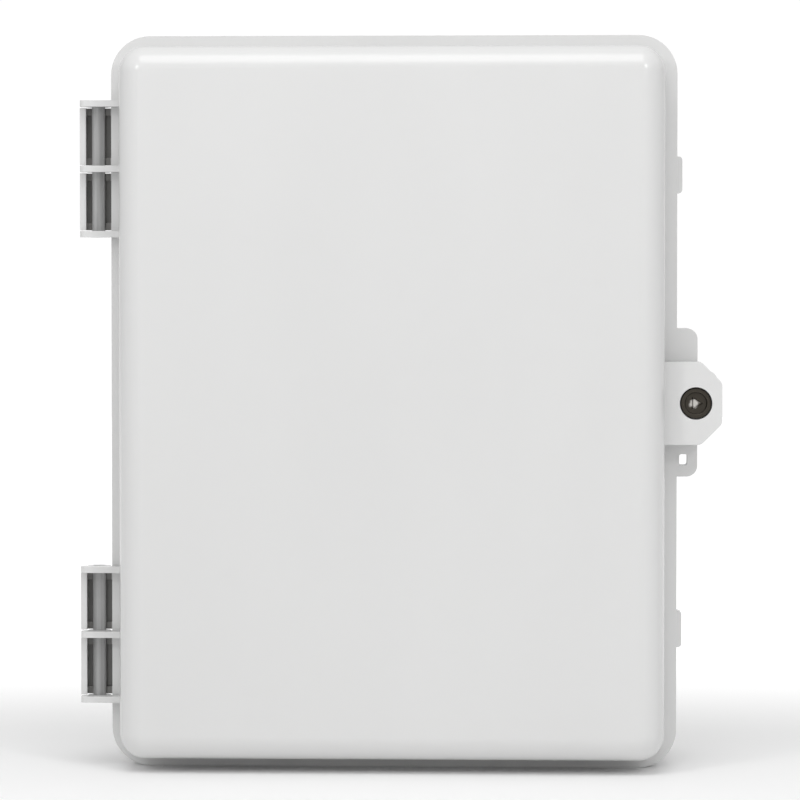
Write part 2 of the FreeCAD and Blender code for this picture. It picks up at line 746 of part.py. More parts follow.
def make_hinge_brackets():
    """Posts on the back wall whose eyes carry the swinging panel's pins."""
    for name, z in BRACKETS.items():
        eye = rod(f"bracket_eye_{name}", "Z", ("panel_hinge_x", "panel_y", z), "bracket_radius",
                  "bracket_height")
        post = bar(f"bracket_post_{name}", ("panel_hinge_x - bracket_radius", "panel_y", z),
                   ("2 * bracket_radius", "bay_back - panel_y", "bracket_height"))
        foot = bar(f"bracket_foot_{name}", ("panel_hinge_x", "bay_back - foot_thickness", z),
                   ("bracket_foot_length", "foot_thickness", "bracket_height"))
        solid = fuse(f"bracket_solid_{name}", [eye, post, foot])
        bore = rod(f"bracket_bore_{name}", "Z", ("panel_hinge_x", "panel_y", f"{z} - 1"),
                   "panel_pin_radius + panel_pin_gap", "bracket_height + 2")
        holes = [bore, screw_hole(f"bracket_hole_{name}", WALL_SCREWS[f"bracket_{name}"])]
        keep(cut(f"bracket_{name}", solid, holes), f"panel_bracket_{name}")


def make_panel_catch():
    """A post at the right that the closed panel rests on."""
    low = "body_z - catch_height / 2"
    post = bar("catch_post", ("catch_x", "panel_y + panel_thickness / 2 + seam_gap", low),
               ("catch_width", "bay_back - panel_y - panel_thickness / 2 - seam_gap", "catch_height"))
    foot = bar("catch_foot", ("catch_x", "bay_back - foot_thickness", f"{low} - catch_foot_drop"),
               ("catch_width", "foot_thickness", "catch_height + catch_foot_drop"))
    keep(cut("catch", fuse("catch_solid", [post, foot]), [screw_hole("catch_hole", WALL_SCREWS["catch"])]),
         "panel_catch")


# ---- cover ----

def make_front_cover():
    """The dome with its sill, seal tongue, hinge arms and lock lug."""
    cover = new_body("front_cover")
    centre = ("body_x", "body_z")
    outer = outline_at("cover_inset")
    block(cover, "Pad", "dome", "XZ_Plane", "cover_back", "cover_depth - seam_gap", centre, outer[:2],
          outer[2], towards_plus=False)
    front_y = number("front")
    dress(cover, "Fillet", "Radius", "cover_edge_radius", lambda edge: lies_at(edge, "Y", front_y))
    back_y = number("cover_back")
    hollow_out(cover, "cover_wall", lambda face: lies_at(face, "Y", back_y))
    ring(cover, "Pad", "sill", "cover_back - sill_depth", "sill_depth", "cover_inset + cover_wall / 2",
         "tongue_inner_inset")
    ring(cover, "Pad", "tongue", "cover_back", "tongue_depth", "tongue_inset", "tongue_inner_inset")
    add_cover_lug(cover)
    add_hinge_arms(cover)
    add_lock_bores(cover)


def add_cover_lug(cover):
    width = "lug_reach + cover_inset + cover_wall - seam_gap"
    block(cover, "Pad", "cover_lug", "XZ_Plane", "lug_front", "lug_depth - seam_gap",
          (f"body_right + lug_reach - ({width}) / 2", "body_z"), (width, "lug_height"))
    outer_x = number("body_right + lug_reach")
    along = Vector(0, 1, 0)
    dress(cover, "Chamfer", "Size", "lug_chamfer",
          lambda edge: runs_along(edge, along) and lies_at(edge, "X", outer_x))
    chamfer_x = number("body_right + lug_reach - lug_chamfer - lug_root")
    dress(cover, "Fillet", "Radius", "lug_corner",
          lambda edge: runs_along(edge, along) and edge.CenterOfMass.x > chamfer_x)


def add_hinge_arms(cover):
    """Three flat arms per hinge, each with an eye round the pin."""
    width = "arm_overhang + hinge_pin_offset + cover_inset + arm_root"
    centre = (f"hinge_x - arm_overhang + ({width}) / 2", "parting - (arm_depth + seam_gap) / 2")
    for name, hinge_z in HINGES.items():
        for place, step in (("bottom", "- arm_pitch"), ("middle", ""), ("top", "+ arm_pitch")):
            low = f"{hinge_z} {step} - arm_thickness / 2"
            label = f"{name}_arm_{place}"
            block(cover, "Pad", label, "XY_Plane", low, "arm_thickness", centre,
                  (width, "arm_depth - seam_gap"), "arm_corner")
            disc(cover, "Pad", label + "_eye", "XY_Plane", low, "arm_thickness", ("hinge_x", "hinge_y"),
                 "arm_eye_radius")
        disc(cover, "Pocket", f"{name}_arm_bore", "XY_Plane", f"{hinge_z} - hinge_length / 2 - 1",
             "hinge_length + 2", ("hinge_x", "hinge_y"), "hinge_pin_radius + hinge_pin_fit")


def add_lock_bores(cover):
    """Recess for the screw head, hole for its shank, and a pocket behind for the clip."""
    centre = ("lock_x", "body_z")
    disc(cover, "Pocket", "lock_recess", "XZ_Plane", "lug_front", "lock_recess_depth", centre,
         "lock_recess_radius")
    disc(cover, "Pocket", "lock_passage", "XZ_Plane", "screw_seat", "lock_web", centre,
         "screw_shank_radius + screw_shank_gap")
    disc(cover, "Pocket", "clip_pocket", "XZ_Plane", "screw_seat + lock_web",
         "cover_back - screw_seat - lock_web", centre, "clip_pocket_radius")


def make_hinge_pins():
    for name, hinge_z in HINGES.items():
        keep(rod(f"hinge_pin_{name}", "Z", ("hinge_x", "hinge_y", f"{hinge_z} - hinge_length / 2"),
                 "hinge_pin_radius", "hinge_length"), f"hinge_pin_{name}")


def make_lock_ring():
    """The seal ring between the screw head and the floor of its recess."""
    outer = rod("ring_outer", "Y", ("lock_x", "screw_seat - lock_ring_depth", "body_z"),
                "screw_head_radius - lock_ring_depth", "lock_ring_depth")
    bore = rod("ring_bore", "Y", ("lock_x", "screw_seat - 2 * lock_ring_depth", "body_z"),
               "screw_shank_radius + screw_shank_gap", "4 * lock_ring_depth")
    keep(cut("lock_ring", outer, [bore]), "lock_seal_ring")


def make_lock_screw():
    """Round head with a sunk drive face, a three-cornered post in it, and a shank."""
    head = rod("screw_head_blank", "Y", ("lock_x", "screw_front", "body_z"), "screw_head_radius",
               "screw_head_back - screw_front")
    sink = rod("screw_sink", "Y", ("lock_x", "screw_front - 1", "body_z"), "screw_drive_radius",
               "screw_drive_depth + 1")
    post = document.addObject("Part::Prism", "screw_post")
    post.Polygon = 3
    post.Placement = FreeCAD.Placement(Vector(0, 0, 0), TURNS["Y"])
    bind(post, "Circumradius", "screw_post_radius")
    bind(post, "Height", "screw_drive_depth")
    set_down(post, ("lock_x", "screw_front", "body_z"))
    shank = rod("screw_shank", "Y", ("lock_x", "screw_head_back", "body_z"), "screw_shank_radius",
                "parting + screw_reach - screw_head_back")
    keep(fuse("screw", [cut("screw_sunk_head", head, [sink]), post, shank]), "lock_screw")


def make_lock_clip():
    """The ring on the shank that keeps the screw in the cover."""
    disk = rod("clip_disk", "Y", ("lock_x", "clip_back - clip_thickness", "body_z"), "clip_radius",
               "clip_thickness")
    bore = rod("clip_bore", "Y", ("lock_x", "clip_back - 2 * clip_thickness", "body_z"),
               "screw_shank_radius + press_gap", "4 * clip_thickness")
    keep(cut("clip", disk, [bore]), "lock_clip")


# ---- swinging panel ----

def make_distribution_panel():
    """The flat panel with two knuckles at its left edge and a finger hole at its right."""
    panel = new_body("distribution_panel")
    width = "panel_right - panel_left"
    height = "panel_high - panel_low"
    block(panel, "Pad", "plate", "XZ_Plane", "panel_front", "panel_thickness",
          (f"panel_left + ({width}) / 2", f"panel_low + ({height}) / 2"), (width, height), "panel_edge_gap")
    for name, z in BRACKETS.items():
        low = f"{z} + bracket_height + seam_gap"
        block(panel, "Pad", f"knuckle_web_{name}", "XY_Plane", low, "panel_knuckle_height",
              ("panel_hinge_x + panel_edge_gap / 2 + 1", "panel_y"),
              ("panel_edge_gap + 2", "panel_thickness"))
        disc(panel, "Pad", f"knuckle_{name}", "XY_Plane", low, "panel_knuckle_height",
             ("panel_hinge_x", "panel_y"), "panel_knuckle_radius")
        disc(panel, "Pocket", f"knuckle_bore_{name}", "XY_Plane", low, "panel_knuckle_height",
             ("panel_hinge_x", "panel_y"), "panel_pin_radius + press_gap")
    disc(panel, "Pocket", "grip_hole", "XZ_Plane", "panel_front", "panel_thickness",
         ("panel_right - 2 * grip_radius", "(shelf_level + splitter_level) / 2"), "grip_radius")
    for place, (left, down) in enumerate(FOUR_WAYS, start=1):
        disc(panel, "Pocket", f"tray_hole_{place}", "XZ_Plane", "panel_front", "panel_thickness",
             tray_screw_place(left, down), "tray_screw_radius + press_gap")
    for name, sign in (("left", "-"), ("right", "+")):
        disc(panel, "Pocket", f"shelf_hole_{name}", "XZ_Plane", "panel_front", "panel_thickness",
             shelf_screw_place(sign), "tray_screw_radius + press_gap")


def make_panel_pins():
    for name, z in BRACKETS.items():
        keep(rod(f"panel_pin_{name}", "Z", ("panel_hinge_x", "panel_y", z), "panel_pin_radius",
                 "bracket_height + seam_gap + panel_knuckle_height"), f"panel_pin_{name}")


def tray_screw_place(left, down):
    return (f"tray_x {left} (tray_width / 2 - tray_screw_inset)",
            f"tray_level {down} (tray_height / 2 - tray_screw_inset)")


def shelf_screw_place(sign):
    return (f"tray_x {sign} {ADAPTERS // 2 - 1} * adapter_pitch",
            "shelf_level + shelf_thickness + shelf_foot_height / 2")


def make_splice_tray():
    """A shallow tray with two round spools that keep the fibre's bend wide."""
    tray = new_body("splice_tray")
    centre = ("tray_x", "tray_level")
    block(tray, "Pad", "tray_block", "XZ_Plane", "tray_front", "tray_depth", centre,
          ("tray_width", "tray_height"), "tray_corner")
    block(tray, "Pocket", "tray_hollow", "XZ_Plane", "tray_front", "tray_depth - tray_wall", centre,
          ("tray_width - 2 * tray_wall", "tray_height - 2 * tray_wall"), "tray_corner - tray_wall")
    for name, sign in (("left", "-"), ("right", "+")):
        spool = new_sketch(tray, f"spool_{name}", "XZ_Plane", "tray_front + tray_wall",
                           (f"tray_x {sign} spool_spread", "tray_level"))
        draw_circle(spool, "spool_radius")
        draw_circle(spool, "spool_radius - spool_wall")
        extrude(tray, "Pad", spool, "tray_depth - 2 * tray_wall")
        block(tray, "Pocket", f"fibre_entry_{name}", "XZ_Plane", "tray_front", "tray_depth - tray_wall",
              (f"tray_x {sign} fibre_entry_spread", "tray_level - tray_height / 2"),
              ("spool_radius / 2", "4 * tray_wall"))
    for place, (left, down) in enumerate(FOUR_WAYS, start=1):
        disc(tray, "Pocket", f"tray_floor_hole_{place}", "XZ_Plane", "panel_front - tray_wall", "tray_wall",
             tray_screw_place(left, down), "tray_screw_radius + press_gap")


def make_tray_screws():
    """Four pan-head screws through the tray's floor into the panel, and two for the shelf's foot."""
    def screw(name, centre, seat):
        head = rod(f"{name}_head", "Y", (centre[0], f"{seat} - screw_head_height", centre[1]),
                   "2 * tray_screw_radius", "screw_head_height")
        shank = rod(f"{name}_shank", "Y", (centre[0], seat, centre[1]), "tray_screw_radius",
                    f"panel_front + panel_thickness - ({seat})")
        return fuse(name, [head, shank])
    tray_screws = [screw(f"tray_screw_{place}", tray_screw_place(*ways), "panel_front - tray_wall")
                   for place, ways in enumerate(FOUR_WAYS, start=1)]
    keep(group("tray_screw_set", tray_screws), "tray_screws")
    shelf_screws = [screw(f"shelf_screw_{name}", shelf_screw_place(sign), "panel_front - shelf_thickness")
                    for name, sign in (("left", "-"), ("right", "+"))]
    keep(group("shelf_screw_set", shelf_screws), "shelf_screws")


def make_splice_comb():
    """The holder between the spools: a plate with ribs, one splice sleeve between each two ribs."""
    length = f"{COMB_RIBS - 1} * comb_pitch + comb_rib"
    low_z = f"tray_level - ({length}) / 2"
    left_x = "tray_x - comb_width / 2"
    floor_y = "panel_front - tray_wall"
    plate = bar("comb_plate", (left_x, f"{floor_y} - comb_rib", low_z), ("comb_width", "comb_rib", length))
    ribs = []
    for place in range(COMB_RIBS):
        ribs.append(bar(f"comb_rib_{place + 1}", (left_x, f"{floor_y} - comb_rib - comb_rib_height",
                                                 f"{low_z} + {place} * comb_pitch"),
                        ("comb_width", "comb_rib_height", "comb_rib")))
    keep(fuse("comb", [plate] + ribs), "splice_holder_comb")


def make_tray_lid():
    lid = new_body("splice_tray_lid")
    block(lid, "Pad", "lid_plate", "XZ_Plane", "tray_front - lid_thickness", "lid_thickness",
          ("tray_x", "tray_level"), ("tray_width", "tray_height"), "tray_corner")


def make_splitter():
    """A slim steel splitter tube held by two clips on the panel."""
    keep(bar("splitter_block", ("tray_x - splitter_length / 2", "panel_front - clip_reach",
                                "splitter_level - splitter_height / 2"),
             ("splitter_length", "splitter_depth", "splitter_height")), "splitter_module")
    clips = []
    for name, sign in (("left", "-"), ("right", "+")):
        x = f"tray_x {sign} splitter_clip_spread - splitter_clip_length / 2"
        wall = "splitter_clip_wall"
        floor = bar(f"clip_floor_{name}", (x, f"panel_front - {wall}",
                                           f"splitter_level - splitter_height / 2 - {wall}"),
                    ("splitter_clip_length", wall, f"splitter_height + 2 * {wall}"))
        low = bar(f"clip_low_{name}",
                  (x, "panel_front - clip_reach", f"splitter_level - splitter_height / 2 - {wall}"),
                  ("splitter_clip_length", "clip_reach", wall))
        high = bar(f"clip_high_{name}",
                   (x, "panel_front - clip_reach", "splitter_level + splitter_height / 2"),
                   ("splitter_clip_length", "clip_reach", wall))
        clips.append(fuse(f"splitter_clip_{name}", [floor, low, high]))
    keep(group("splitter_clip_pair", clips), "splitter_clips")


def make_adapter_shelf():
    """An angle with one cut-out per adapter; its foot is screwed to the panel."""
    width = f"{ADAPTERS} * adapter_pitch"
    plate = bar("shelf_plate", ("shelf_left", "panel_front - shelf_depth", "shelf_level"),
                (width, "shelf_depth", "shelf_thickness"))
    foot = bar("shelf_foot", ("shelf_left", "panel_front - shelf_thickness", "shelf_level"),
               (width, "shelf_thickness", "shelf_thickness + shelf_foot_height"))
    holes = []
    for place, x in enumerate(ADAPTER_XS, start=1):
        slot_width = "adapter_width + 2 * adapter_slot_gap"
        slot_depth = "adapter_depth + 2 * adapter_slot_gap"
        holes.append(bar(f"shelf_slot_{place}",
                         (f"{x} - ({slot_width}) / 2", f"adapter_y - ({slot_depth}) / 2", "shelf_level - 1"),
                         (slot_width, slot_depth, "shelf_thickness + 2")))
    for name, sign in (("left", "-"), ("right", "+")):
        x, z = shelf_screw_place(sign)
        holes.append(rod(f"shelf_foot_hole_{name}", "Y", (x, "panel_front - shelf_thickness - 1", z),
                         "tray_screw_radius + press_gap", "shelf_thickness + 2"))
    keep(cut("shelf", fuse("shelf_solid", [plate, foot]), holes), "adapter_shelf")


def make_adapters():
    """Eight square-bodied couplers through the shelf, each with a dust cap in its lower end."""
    for place, x in enumerate(ADAPTER_XS, start=1):
        low_z = "shelf_level + shelf_thickness + adapter_flange_height - adapter_length / 2"
        body = bar(f"adapter_body_{place}",
                   (f"{x} - adapter_width / 2", "adapter_y - adapter_depth / 2", low_z),
                   ("adapter_width", "adapter_depth", "adapter_length"))
        flange = bar(f"adapter_flange_{place}", (f"{x} - adapter_width / 2 - adapter_flange",
                                                "adapter_y - adapter_depth / 2 - adapter_flange",
                                                "shelf_level + shelf_thickness"),
                     ("adapter_width + 2 * adapter_flange", "adapter_depth + 2 * adapter_flange",
                      "adapter_flange_height"))
        hollows = []
        for end, start in (("low", f"{low_z} - 1"), ("high", f"{low_z} + adapter_length - cap_length")):
            corner = (f"{x} - adapter_width / 2 + adapter_wall",
                      "adapter_y - adapter_depth / 2 + adapter_wall", start)
            hollows.append(bar(f"adapter_hollow_{end}_{place}", corner,
                ("adapter_width - 2 * adapter_wall", "adapter_depth - 2 * adapter_wall", "cap_length + 1")))
        hollows.append(rod(f"adapter_bore_{place}", "Z", (x, "adapter_y", low_z), "ferrule_radius",
                           "adapter_length"))
        solid = fuse(f"adapter_solid_{place}", [body, flange])
        keep(cut(f"adapter_{place}", solid, hollows), f"adapter_{place}")
        inset = "adapter_wall + cap_gap"
        plug = bar(f"cap_plug_{place}", (f"{x} - adapter_width / 2 + {inset}",
                                        f"adapter_y - adapter_depth / 2 + {inset}", low_z),
                   (f"adapter_width - 2 * ({inset})", f"adapter_depth - 2 * ({inset})", "cap_length - 1"))
        grip_corner = (f"{x} - adapter_width / 2", "adapter_y - adapter_depth / 2", f"{low_z} - cap_grip")
        grip = bar(f"cap_grip_{place}", grip_corner, ("adapter_width", "adapter_depth", "cap_grip"))
        keep(fuse(f"dust_cap_{place}", [plug, grip]), f"dust_cap_{place}")


def make_everything():
    make_base_shell()
    make_cover_gasket()
    make_grommets()
    make_drop_plugs()
    make_lock_insert()
    make_wall_screws()
    make_tie_bar()
    make_strength_clamps()
    make_fibre_hooks()
    make_hinge_brackets()
    make_panel_catch()
    make_front_cover()
    make_hinge_pins()
    make_lock_ring()
    make_lock_screw()
    make_lock_clip()
    make_distribution_panel()
    make_panel_pins()
    make_splice_tray()
    make_splice_comb()
    make_tray_lid()
    make_tray_screws()
    make_splitter()
    make_adapter_shelf()
    make_adapters()


def check_document():
    """Stop if an object failed, a piece is not a valid solid, or a cut or pad changed nothing."""
    for thing in document.Objects:
        if "Invalid" in thing.State or "Error" in thing.State:
            raise RuntimeError(f"{thing.Name} failed: {thing.State}")
        base = getattr(thing, "BaseFeature", None)
        if base is None or thing.TypeId == "PartDesign::Body":
            continue
        change = thing.Shape.Volume - base.Shape.Volume
        if thing.TypeId == "PartDesign::Pocket" and change > -0.01:
            raise RuntimeError(f"{thing.Name} cut nothing")
        if thing.TypeId == "PartDesign::Pad" and change < 0.01:
            raise RuntimeError(f"{thing.Name} added nothing")
    for piece in PIECES:
        if piece.Shape.isNull() or not piece.Shape.isValid() or not piece.Shape.Solids:
            raise RuntimeError(f"{piece.Label} is not a valid solid")


def write_pieces():
    os.makedirs("parts", exist_ok=True)
    for piece in PIECES:
        piece.Shape.exportStep(f"parts/{piece.Label}.step")


fill_sheet()
make_everything()
document.recompute()
check_document()
write_pieces()
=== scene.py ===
"""Finished pieces, materials and studio for a wall-mounted fiber termination box."""

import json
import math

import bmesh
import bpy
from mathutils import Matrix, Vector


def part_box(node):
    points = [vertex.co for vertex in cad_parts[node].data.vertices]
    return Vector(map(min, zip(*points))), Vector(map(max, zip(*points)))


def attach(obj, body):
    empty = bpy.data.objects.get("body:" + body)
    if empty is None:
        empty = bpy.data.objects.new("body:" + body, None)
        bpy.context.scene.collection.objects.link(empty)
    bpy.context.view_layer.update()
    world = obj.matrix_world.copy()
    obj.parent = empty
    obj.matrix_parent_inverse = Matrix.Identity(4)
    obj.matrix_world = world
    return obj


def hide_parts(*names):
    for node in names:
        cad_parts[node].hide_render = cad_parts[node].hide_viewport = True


bl_info = {
    "name": "Fiber Termination Box",
    "version": (1, 0, 0),
    "blender": (4, 5, 0),
    "location": "3D View > Sidebar > Termination Box",
    "description": "Builds the finished pieces of a fiber termination box round its frame",
    "category": "Object",
}

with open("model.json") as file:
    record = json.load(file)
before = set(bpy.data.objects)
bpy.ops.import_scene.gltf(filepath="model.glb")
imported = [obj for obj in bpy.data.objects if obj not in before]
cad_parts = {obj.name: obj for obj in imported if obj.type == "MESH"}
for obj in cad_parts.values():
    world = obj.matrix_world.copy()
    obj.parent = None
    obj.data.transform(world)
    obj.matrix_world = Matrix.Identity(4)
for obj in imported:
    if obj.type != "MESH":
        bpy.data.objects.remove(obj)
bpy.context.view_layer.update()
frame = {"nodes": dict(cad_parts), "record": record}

MM = 0.001
SAME_POINT = 0.002 * MM
FLAT_ANGLE = math.radians(0.5)
SHARP_ANGLE = math.radians(30)
NOISE_RANGE = (0.3, 0.7)
CAMERA_SHIFT_ACROSS = 2.6 * MM
CAMERA_SHIFT_UP = 0.8 * MM
BODIES = frame["record"]["behaviour"]["bodies"]


# ---- settings ----

class ShellSettings(bpy.types.PropertyGroup):
    """What a user would change on the outer shell."""
    colour: bpy.props.FloatVectorProperty(
        name="Shell colour", description="Colour of the moulded base and cover",
        default=(0.685, 0.685, 0.682), size=3, subtype="COLOR", min=0, max=1)
    roughness: bpy.props.FloatProperty(
        name="Shell roughness", description="Gloss of the shell, 0 is a mirror",
        default=0.24, min=0, max=1, subtype="FACTOR")
    edge: bpy.props.FloatProperty(
        name="Shell edge", description="Width of the rounding on the shell's edges",
        default=0.5 * MM, min=0, unit="LENGTH")
    pin_colour: bpy.props.FloatVectorProperty(
        name="Pin colour", description="Colour of the hinge pins",
        default=(0.36, 0.36, 0.36), size=3, subtype="COLOR", min=0, max=1)


class InnerSettings(bpy.types.PropertyGroup):
    """What a user would change inside the box."""
    colour: bpy.props.FloatVectorProperty(
        name="Inner colour", description="Colour of the panel and the fittings",
        default=(0.78, 0.78, 0.76), size=3, subtype="COLOR", min=0, max=1)
    tray_colour: bpy.props.FloatVectorProperty(
        name="Tray colour", description="Colour of the splice tray",
        default=(0.035, 0.038, 0.042), size=3, subtype="COLOR", min=0, max=1)
    adapter_colour: bpy.props.FloatVectorProperty(
        name="Adapter colour", description="Colour of the adapters",
        default=(0.02, 0.27, 0.10), size=3, subtype="COLOR", min=0, max=1)
    edge: bpy.props.FloatProperty(
        name="Inner edge", description="Width of the rounding on the inner pieces' edges",
        default=0.25 * MM, min=0, unit="LENGTH")


class StageSettings(bpy.types.PropertyGroup):
    """Camera and light."""
    distance: bpy.props.FloatProperty(
        name="Camera distance", description="From the camera to the box's rim",
        default=1.6, min=0.3, unit="LENGTH")
    azimuth: bpy.props.FloatProperty(
        name="Camera azimuth", description="Turn of the camera towards the lock side",
        default=math.radians(2.35), subtype="ANGLE")
    elevation: bpy.props.FloatProperty(
        name="Camera elevation", description="Height of the camera above level",
        default=math.radians(1.8), subtype="ANGLE")
    view_width: bpy.props.FloatProperty(
        name="View width", description="Width of the picture at the box's rim",
        default=0.3285, min=0.05, unit="LENGTH")
    top_light: bpy.props.FloatProperty(
        name="Top light", description="Strength of the softbox above the box", default=2.9, min=0)
    spot_light: bpy.props.FloatProperty(
        name="Spot light",
        description="Strength of the two small lights high beside the camera", default=1.6, min=0)
    back: bpy.props.FloatProperty(
        name="Back of the room", description="Brightness of the room behind the box", default=1.02, min=0)
    front: bpy.props.FloatProperty(
        name="Front of the room", description="Brightness of the room behind the camera",
        default=0.78, min=0)
    side: bpy.props.FloatProperty(
        name="Sides of the room", description="Brightness of the room to the left and right",
        default=0.47, min=0)
    ceiling: bpy.props.FloatProperty(
        name="Ceiling", description="Brightness of the room above", default=0.7, min=0)


# ---- small tools ----

def settings(name):
    """One of the groups of settings that the panel shows."""
    return getattr(bpy.context.scene, "termination_box_" + name)


def body_of(node):
    """The body that a frame node moves with."""
    for body, nodes in BODIES.items():
        if node in nodes:
            return body
    raise RuntimeError(f"{node} is on no body")


def new_object(bm, name):
    """Turn a bmesh into a linked object at the origin."""
    mesh = bpy.data.meshes.new(name)
    bm.to_mesh(mesh)
    bm.free()
    piece = bpy.data.objects.new(name, mesh)
    bpy.context.scene.collection.objects.link(piece)
    return piece


def smooth(piece):
    """Shade a piece smooth, and let its large faces set the normals."""
    for face in piece.data.polygons:
        face.use_smooth = True
    weighted = piece.modifiers.new("even normals", "WEIGHTED_NORMAL")
    weighted.mode = "FACE_AREA"
    weighted.keep_sharp = True


def place(piece, node, material):
    """Give a finished piece its material and body, in place of a frame node."""
    piece.data.materials.clear()
    piece.data.materials.append(material)
    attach(piece, body_of(node))
    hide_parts(node)


def merged_copy(node):
    """A frame node's mesh as one clean surface, its flat triangles joined."""
    bm = bmesh.new()
    bm.from_mesh(frame["nodes"][node].data)
    bmesh.ops.remove_doubles(bm, verts=bm.verts, dist=SAME_POINT)
    bmesh.ops.dissolve_limit(bm, angle_limit=FLAT_ANGLE, use_dissolve_boundaries=False,
                             verts=bm.verts, edges=bm.edges)
    return bm


def round_edges(bm, width, segments):
    """Round every edge where two faces meet at a sharp angle."""
    sharp = [edge for edge in bm.edges
             if len(edge.link_faces) == 2 and edge.calc_face_angle(0) > SHARP_ANGLE]
    bmesh.ops.bevel(bm, geom=sharp, offset=width, offset_type="OFFSET", segments=segments, profile=0.5,
                    affect="EDGES", clamp_overlap=True, material=-1)


def softened(node, width, material, segments=2):
    """The finished form of a moulded or machined node: its own shape with rounded edges."""
    bm = merged_copy(node)
    round_edges(bm, width, segments)
    piece = new_object(bm, node + "_finished")
    smooth(piece)
    place(piece, node, material)


# ---- materials ----

def new_material(name):
    """A node material with its shader, and Object coordinates to hang patterns on."""
    material = bpy.data.materials.new(name)
    material.use_nodes = True
    nodes = material.node_tree.nodes
    nodes.clear()
    output = nodes.new("ShaderNodeOutputMaterial")
    shader = nodes.new("ShaderNodeBsdfPrincipled")
    coordinates = nodes.new("ShaderNodeTexCoord")
    material.node_tree.links.new(shader.outputs["BSDF"], output.inputs["Surface"])
    return material, shader, coordinates.outputs["Object"]


def noise(material, where, scale, detail, stretch=None):
    """A noise pattern; stretch squeezes it along the axes."""
    nodes = material.node_tree.nodes
    links = material.node_tree.links
    if stretch:
        mapping = nodes.new("ShaderNodeMapping")
        mapping.inputs["Scale"].default_value = stretch
        links.new(where, mapping.inputs["Vector"])
        where = mapping.outputs["Vector"]
    pattern = nodes.new("ShaderNodeTexNoise")
    pattern.inputs["Scale"].default_value = scale
    pattern.inputs["Detail"].default_value = detail
    links.new(where, pattern.inputs["Vector"])
    return pattern.outputs["Fac"]


def remap(material, value, low, high):
    """Spread a pattern's middle range between two values."""
    node = material.node_tree.nodes.new("ShaderNodeMapRange")
    node.inputs["From Min"].default_value, node.inputs["From Max"].default_value = NOISE_RANGE
    node.inputs["To Min"].default_value = low
    node.inputs["To Max"].default_value = high
    material.node_tree.links.new(value, node.inputs["Value"])
    return node.outputs["Result"]


def tint(material, value, first, second):
    """Blend two colours by a pattern."""
    node = material.node_tree.nodes.new("ShaderNodeMix")
    node.data_type = "RGBA"
    node.inputs["A"].default_value = (*first, 1)
    node.inputs["B"].default_value = (*second, 1)
    material.node_tree.links.new(value, node.inputs["Factor"])
    return node.outputs["Result"]


def bump(material, shader, height, distance, strength, below=None):
    """Raise the surface by a pattern, over an earlier bump if there is one."""
    node = material.node_tree.nodes.new("ShaderNodeBump")
    node.inputs["Strength"].default_value = strength
    node.inputs["Distance"].default_value = distance
    material.node_tree.links.new(height, node.inputs["Height"])
    if below:
        material.node_tree.links.new(below, node.inputs["Normal"])
    material.node_tree.links.new(node.outputs["Normal"], shader.inputs["Normal"])
    return node.outputs["Normal"]


def window(material, value, low, high, soft):
    """1 where a coordinate lies between two places, falling to 0 over a soft edge."""
    nodes = material.node_tree.nodes
    links = material.node_tree.links
    edges = []
    for start, end in ((low - soft, low), (high + soft, high)):
        edge = nodes.new("ShaderNodeMapRange")
        edge.interpolation_type = "SMOOTHSTEP"
        edge.inputs["From Min"].default_value = start
        edge.inputs["From Max"].default_value = end
        links.new(value, edge.inputs["Value"])
        edges.append(edge.outputs["Result"])
    return times(material, *edges)


def times(material, *values):
    """Multiply patterns together."""
    product = values[0]
    for value in values[1:]:
        node = material.node_tree.nodes.new("ShaderNodeMath")
        node.operation = "MULTIPLY"
        material.node_tree.links.new(product, node.inputs[0])
        material.node_tree.links.new(value, node.inputs[1])
        product = node.outputs[0]
    return product


def shade(colour, factor):
    """A colour made darker or lighter."""
    return tuple(min(1.0, channel * factor) for channel in colour)


def moulded_plastic(name, colour, roughness):
    """Injection-moulded plastic: fine spark-eroded grain, slow waves, faint flow marks, handling haze."""
    flow_scale, haze_scale, wave_scale, grain_scale = 14, 30, 22, 2600
    haze_spread = 0.02
    wave_height, grain_height = 0.03 * MM, 0.004 * MM
    material, shader, where = new_material(name)
    links = material.node_tree.links
    flow = remap(material, noise(material, where, flow_scale, 2.0, (1, 1, 0.35)), 0, 1)
    links.new(tint(material, flow, shade(colour, 0.985), shade(colour, 1.012)), shader.inputs["Base Color"])
    haze = noise(material, where, haze_scale, 2.0)
    links.new(remap(material, haze, roughness - haze_spread, roughness + haze_spread),
              shader.inputs["Roughness"])
    waves = bump(material, shader, noise(material, where, wave_scale, 1.0), wave_height, 0.4)
    bump(material, shader, noise(material, where, grain_scale, 2.0), grain_height, 0.6, waves)
    shader.inputs["IOR"].default_value = 1.53
    return material


def rubber(name, colour):
    """Moulded rubber: matt, with bloom and a soft pitted skin."""
    bloom_scale, haze_scale, pit_scale = 90, 300, 1800
    pit_depth = 0.03 * MM
    material, shader, where = new_material(name)
    links = material.node_tree.links
    bloom = remap(material, noise(material, where, bloom_scale, 4.0), 0, 1)
    links.new(tint(material, bloom, colour, shade(colour, 1.9)), shader.inputs["Base Color"])
    links.new(remap(material, noise(material, where, haze_scale, 3.0), 0.52, 0.72),
              shader.inputs["Roughness"])
    bump(material, shader, noise(material, where, pit_scale, 3.0), pit_depth, 0.7)
    return material


def turned_metal(name, colour, roughness, dirt, stretch=(1, 1, 1), scale=500):
    """Metal with tool marks, darker where dirt and oxide sit."""
    stain_scale = 240
    mark_depth = 0.01 * MM
    material, shader, where = new_material(name)
    links = material.node_tree.links
    stain = remap(material, noise(material, where, stain_scale, 5.0), 0, 1)
    links.new(tint(material, stain, colour, dirt), shader.inputs["Base Color"])
    marks = noise(material, where, scale, 2.0, stretch)
    links.new(remap(material, marks, roughness - 0.08, roughness + 0.12), shader.inputs["Roughness"])
    bump(material, shader, marks, mark_depth, 0.6)
    shader.inputs["Metallic"].default_value = 1.0
    return material


